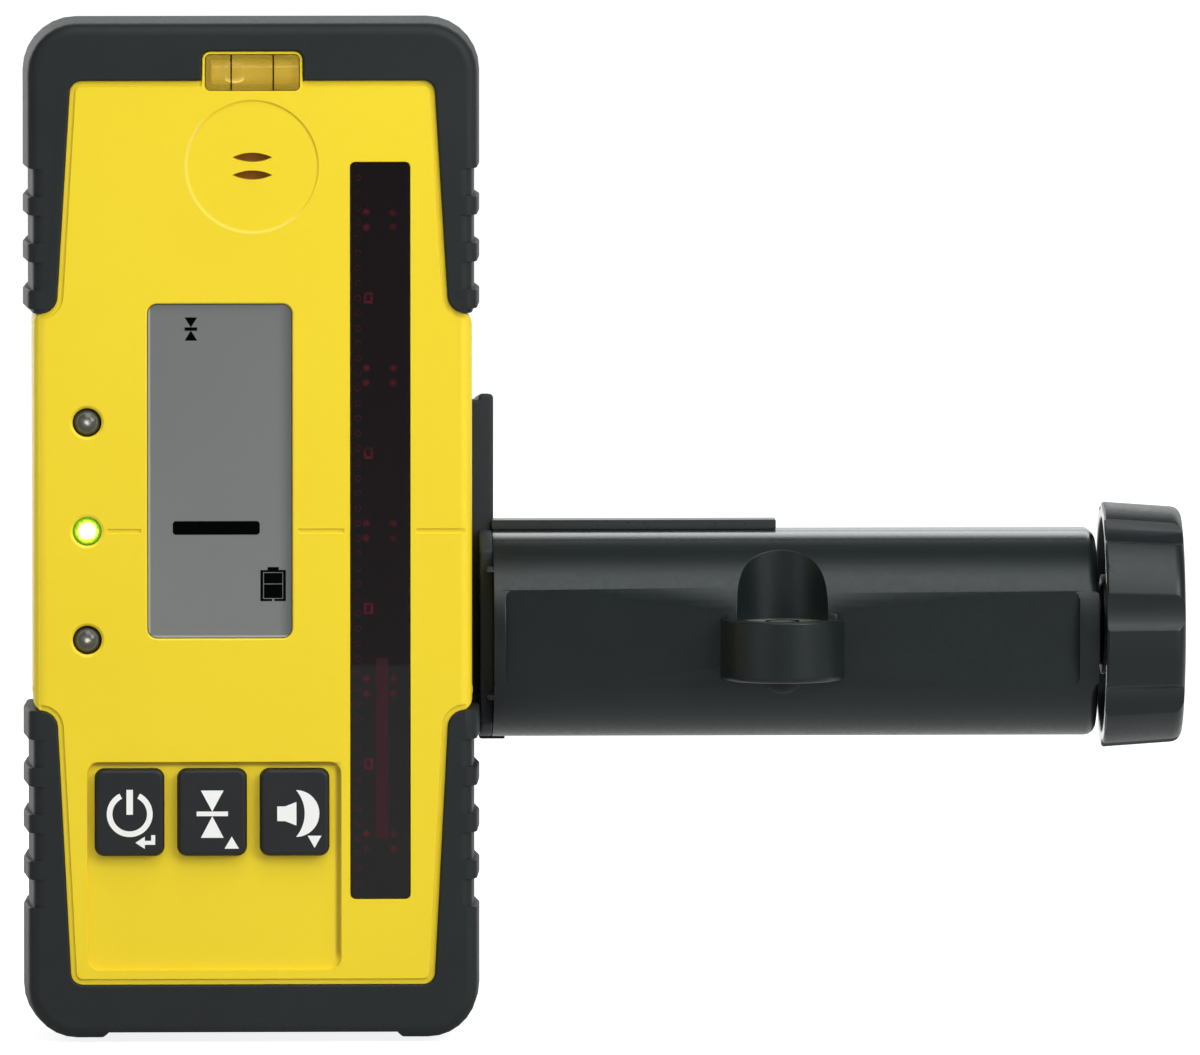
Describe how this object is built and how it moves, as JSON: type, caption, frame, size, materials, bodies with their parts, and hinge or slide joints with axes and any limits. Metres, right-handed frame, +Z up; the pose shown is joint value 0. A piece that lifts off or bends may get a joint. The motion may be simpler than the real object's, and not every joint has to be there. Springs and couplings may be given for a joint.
{
  "type": "laser receiver",
  "caption": "Handheld laser beam receiver with display, lamps and keys, held on a rod clamp bracket with a screw-driven jaw, a round level and a fluted knob.",
  "frame": {"origin": "on the clamping face of the fixed jaw, level with the grade line and halfway along the reach of the jaws", "axes": "+X along the clamp screw from the fixed jaw to the knob, +Y from the display to the back, +Z up"},
  "size_m": [0.197, 0.0621, 0.173],
  "materials": {
    "yellow_plastic": "satin moulded plastic",
    "bumper_rubber": "matt overmoulded rubber",
    "gasket_rubber": "matt",
    "zinc_steel": "zinc plated",
    "dark_red_filter": "polished filter",
    "board_green": "solder mask",
    "diode_black": "polished",
    "lcd_glass": "matt film",
    "light_guide": "milky",
    "lamp_clear": "polished",
    "lamp_lit": "polished, lit",
    "sounder_black": "matt",
    "membrane_felt": "woven",
    "key_rubber": "satin silicone",
    "switch_steel": "stamped",
    "chip_black": "matt",
    "level_acrylic": "polished",
    "level_liquid": "liquid",
    "level_plug": "polished",
    "mark_black": "printed",
    "mark_white": "printed",
    "cell_wrap": "wrapped",
    "contact_steel": "nickel plated",
    "latch_plastic": "satin",
    "brass": "turned",
    "bracket_plastic": "fine grain",
    "edge_plastic": "fine grain",
    "screw_steel": "turned",
    "bush_bronze": "sintered",
    "knob_plastic": "satin",
    "pad_rubber": "matt",
    "vial_acrylic": "polished",
    "vial_liquid": "liquid",
    "screw_black": "black oxide"
  },
  "bodies": {
    "receiver_and_bracket": {"front_case": "yellow_plastic", "rear_case": "yellow_plastic", "case_gasket": "gasket_rubber", "top_bumper": "bumper_rubber", "bottom_bumper": "bumper_rubber", "case_screws": "zinc_steel", "sensor_window": "dark_red_filter", "sensor_board": "board_green", "photodiodes": "diode_black", "display_lens": "lcd_glass", "lcd_panel": "lcd_glass", "lcd_backlight": "light_guide", "lamp_high": "lamp_clear", "lamp_grade": "lamp_lit", "lamp_low": "lamp_clear", "sounder": "sounder_black", "sound_membrane": "membrane_felt", "key_switches": "switch_steel", "main_board": "board_green", "board_chips": "chip_black", "bar_level": "level_acrylic", "bar_level_liquid": "level_liquid", "bar_level_plug": "level_plug", "bar_level_lines": "mark_black", "battery_cells": "cell_wrap", "battery_contacts": "contact_steel", "door_pin": "zinc_steel", "bracket_insert": "brass", "jaw_frame": "bracket_plastic", "arm_body": "bracket_plastic", "arm_screws": "zinc_steel", "reading_edge": "edge_plastic", "end_bush": "bush_bronze", "knob_bush": "bush_bronze", "round_vial": "vial_acrylic", "round_liquid": "vial_liquid", "round_ring": "mark_black", "round_screw": "screw_black"},
    "power_key": {"key_power": "key_rubber"},
    "band_key": {"key_band": "key_rubber"},
    "volume_key": {"key_volume": "key_rubber"},
    "battery_door": {"battery_door": "yellow_plastic"},
    "door_latch": {"door_latch": "latch_plastic"},
    "clamp_screw": {"lead_screw": "screw_steel", "thrust_collar": "screw_steel", "clamp_knob": "knob_plastic", "knob_cap": "bracket_plastic"},
    "moving_jaw": {"moving_jaw": "bracket_plastic", "jaw_nut": "brass", "jaw_pad": "pad_rubber", "pad_screws": "zinc_steel"},
    "bracket_screw": {"bracket_screw": "knob_plastic", "screw_clip": "zinc_steel"}
  },
  "joints": [
    {"name": "power_press", "type": "slide", "parent": "receiver_and_bracket", "child": "power_key", "axis": [0, 1, 0], "range_m": [0, 0.0007], "stiffness_N_per_m": 400},
    {"name": "band_press", "type": "slide", "parent": "receiver_and_bracket", "child": "band_key", "axis": [0, 1, 0], "range_m": [0, 0.0007], "stiffness_N_per_m": 400},
    {"name": "volume_press", "type": "slide", "parent": "receiver_and_bracket", "child": "volume_key", "axis": [0, 1, 0], "range_m": [0, 0.0007], "stiffness_N_per_m": 400},
    {"name": "door_swing", "type": "hinge", "parent": "receiver_and_bracket", "child": "battery_door", "pos_m": [-0.0415, -0.02, -0.0738], "axis": [-1, 0, 0], "range_deg": [0, 90]},
    {"name": "latch_slide", "type": "slide", "parent": "battery_door", "child": "door_latch", "axis": [0, 0, 1], "range_m": [0, 0.0024]},
    {"name": "clamp_turn", "type": "hinge", "parent": "receiver_and_bracket", "child": "clamp_screw", "pos_m": [0.05, -0.0205, -0.0179], "axis": [1, 0, 0], "range_deg": [-2280, 1500]},
    {"name": "jaw_travel", "type": "slide", "parent": "receiver_and_bracket", "child": "moving_jaw", "axis": [1, 0, 0], "range_m": [-0.038, 0.025]},
    {"name": "bracket_screw_turn", "type": "hinge", "parent": "receiver_and_bracket", "child": "bracket_screw", "pos_m": [-0.0335, -0.014, -0.009], "axis": [0, 1, 0], "range_deg": [0, 1440]}
  ],
  "couplings": [
    {"joint": "jaw_travel", "follows": "clamp_turn", "m_per_rad": 0.000954}
  ]
}
